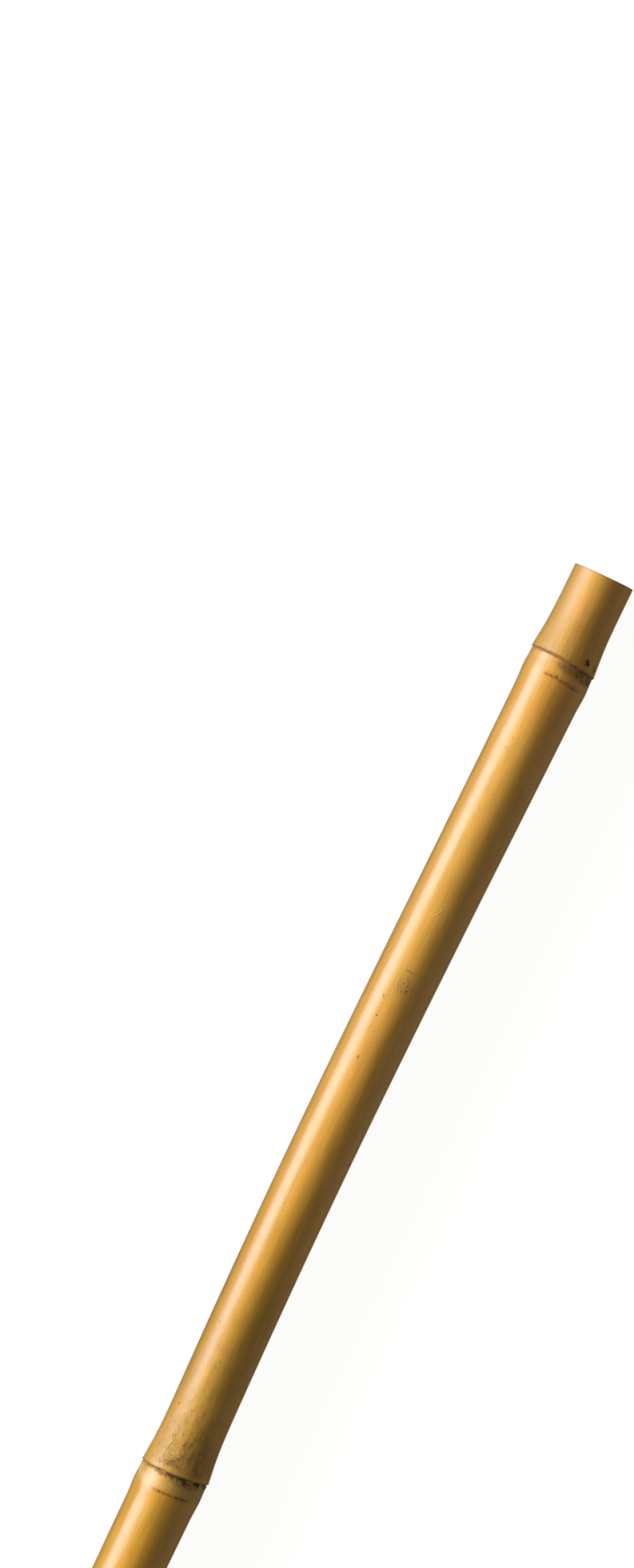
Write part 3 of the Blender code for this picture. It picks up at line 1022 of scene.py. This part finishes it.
def pithScraps(culm, values, material):
    g, given, skin, grain = readCulm("pithScraps", culm, values, material)
    along = g.split(grain)[0]
    clump = g.ramp(g.noise(grain, 0.05, 0.3, 3.0, 13.0), 0.45, 0.6)
    inside = (along > 9.0) * (along < caneLength / mm - 9.0)
    mask = (fromAxis(g, grain) < 7.15) * (endwards(g) < 0.5) * clump * inside
    points, normal = seeded(g, skin, mask)
    scrap = fleck(g, 2, (2.0, 0.26, 0.12), 0.7, 3.0)
    x = g.split(g.node("GeometryNodeInputPosition"))[0]
    curl = g.join(0.0, 0.0, (x + 0.5) * (x + 0.5) * 0.16)
    scrap = g.node("GeometryNodeSetPosition", None, {0: scrap, "Offset": curl})
    return scatter(g, points, normal, scrap, sized(g, 0.3, 1.3), 0.15, 0.5)


def dress(piece, replaced=None):
    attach(piece, "root")
    if replaced:
        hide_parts(replaced)


# The table, the light and the camera

stageLooks = {
    "paper": (0.10, 0.10, 0.10, 1.0),
    "paperGlow": 0.955,
    "tableReach": 20.0,
    "air": (0.088, 0.085, 0.082, 1.0),
    "lights": (  # turn and roll in degrees, power, width in degrees and colour
        ("softLight", (71.5, 0), 6.3, 40, (1.0, 0.985, 1.015)),
        ("buttFill", (0, -90), 1.6, 20, (1.0, 1.0, 1.0)),
        ("tipFill", (0, 90), 1.6, 20, (1.0, 1.0, 1.0)),
        ("farFill", (-90, 0), 0.42, 90, (1.0, 1.0, 1.0)),
    ),
}
photo = {
    "width": 793,
    "height": 1962,
    "metresPerPixel": 0.00032,
    "cut": (757, 722),  # the middle of the sawn butt end
    "edge": (160, 1962),  # where the cane leaves the frame
    "distance": 2.4,
    "sensor": 36.0,
}


def makeStage(looks):
    floor = bpy.data.objects.new("table", bpy.data.meshes.new("table"))
    reach = looks["tableReach"]
    corners = [(-reach, -reach, 0.0), (reach, -reach, 0.0), (reach, reach, 0.0), (-reach, reach, 0.0)]
    floor.data.from_pydata(corners, [], [(0, 1, 2, 3)])
    bpy.context.scene.collection.objects.link(floor)
    material, g, shader = newMaterial("palePaper")
    plug(g, shader, {
        "Base Color": looks["paper"],
        "Roughness": 0.9,
        "Specular IOR Level": 0.1,
        "Emission Color": (1.0, 1.0, 0.99, 1.0),
        "Emission Strength": looks["paperGlow"],
    })
    floor.data.materials.append(material)
    floor.visible_diffuse = False
    floor.visible_glossy = False
    for name, (turn, roll), power, width, colour in looks["lights"]:
        sun = bpy.data.lights.new(name, "SUN")
        sun.energy = power
        sun.angle = math.radians(width)
        sun.color = colour
        lamp = bpy.data.objects.new(name, sun)
        lamp.rotation_euler = (math.radians(turn), math.radians(roll), 0.0)
        bpy.context.scene.collection.objects.link(lamp)
    world = bpy.data.worlds.new("studioAir")
    world.use_nodes = True
    world.node_tree.nodes["Background"].inputs["Color"].default_value = looks["air"]
    bpy.context.scene.world = world
    bpy.context.scene.view_settings.view_transform = "Standard"
    bpy.context.scene.view_settings.look = "None"


def makeCamera(view):
    # Looks straight down, turned so that the cane leans across the frame as it does in the photograph
    cut = Vector(view["cut"])
    axis = (Vector(view["edge"]) - cut).normalized()
    across = Vector((axis.y, -axis.x))
    toMiddle = Vector((view["width"] / 2, view["height"] / 2)) - cut
    scale = view["metresPerPixel"]
    centre = Vector((
        caneBox[0].x + toMiddle.dot(axis) * scale,
        axisSide(culmBow) + toMiddle.dot(across) * scale,
        axisHeight(culmShape),
    ))
    right = Vector((axis.x, across.x, 0.0))
    up = Vector((-axis.y, -across.y, 0.0))
    turn = Matrix((right, up, Vector((0.0, 0.0, 1.0)))).transposed()
    lens = bpy.data.cameras.new("camera")
    lens.sensor_width = view["sensor"]
    lens.lens = view["sensor"] * view["distance"] / (view["height"] * scale)
    lens.clip_end = 100.0
    camera = bpy.data.objects.new("camera", lens)
    camera.matrix_world = Matrix.Translation(centre + Vector((0, 0, view["distance"]))) @ turn.to_4x4()
    bpy.context.scene.collection.objects.link(camera)
    bpy.context.scene.camera = camera


makeStage(stageLooks)
makeCamera(photo)
print("stage, light and camera are set")

skin = makeSkin(skinLooks, skinShares, skinMarks)
sawn = makeSawn(sawnLooks)
lining = makeLining(liningLooks)
culm = growCulm(culmShape, culmRings, culmBow, scarLean, (skin, sawn, lining))
dress(culm, "cane")
print("culm grown:", len(culm.data.polygons), "faces")

plain = {name: makePlain(name, *look) for name, look in plainLooks.items()}
dress(scarCrumbs("buttScarCrumbs", culm, buttCrumbs, plain["scarCrumb"]))
dress(scarCrumbs("tipScarScurf", culm, tipCrumbs, plain["scarScurf"]))
dress(ridgeDots(culm, ridgeBuds, plain["budBrown"]))
dress(skinSpecks(culm, dirtGrains, plain["speckBrown"]))
print("scars, ridges and skin flecked")
dress(fibreEnds(culm, cutBundles, plain["bundleTan"]))
dress(sawSplinters(culm, rimWhiskers, plain["strawFibre"]))
dress(pithScraps(culm, looseScraps, plain["strawFibre"]))
print("sawn ends finished")
